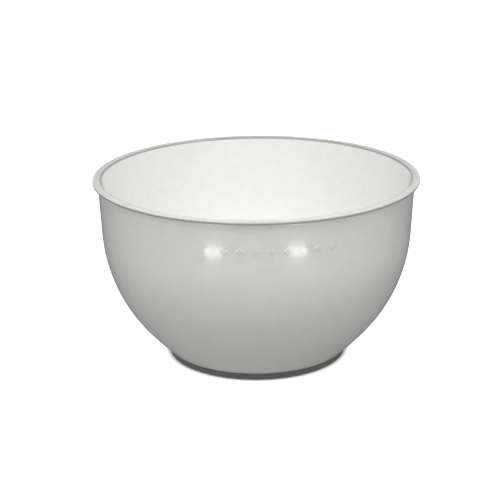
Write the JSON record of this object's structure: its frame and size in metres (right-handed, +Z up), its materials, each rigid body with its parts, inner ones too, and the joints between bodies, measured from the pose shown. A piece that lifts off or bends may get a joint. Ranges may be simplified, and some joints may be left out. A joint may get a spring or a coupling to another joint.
{
  "type": "hair colour mixing bowl",
  "caption": "Round deep mixing bowl for hair colour: thin translucent grey plastic shell with a narrow flanged rim, standing on a dark rubber non-slip ring.",
  "frame": {"origin": "centre of the plane the bowl stands on", "axes": "+Z up along the bowl's axis of revolution; the row of raised marks faces -Y; +X to the right seen from there"},
  "size_m": [0.14, 0.14, 0.0792],
  "materials": {
    "frosted_plastic": "satin",
    "ring_rubber": "matte"
  },
  "bodies": {
    "root": {"bowl_shell": "frosted_plastic", "non_slip_ring": "ring_rubber"}
  },
  "joints": []
}
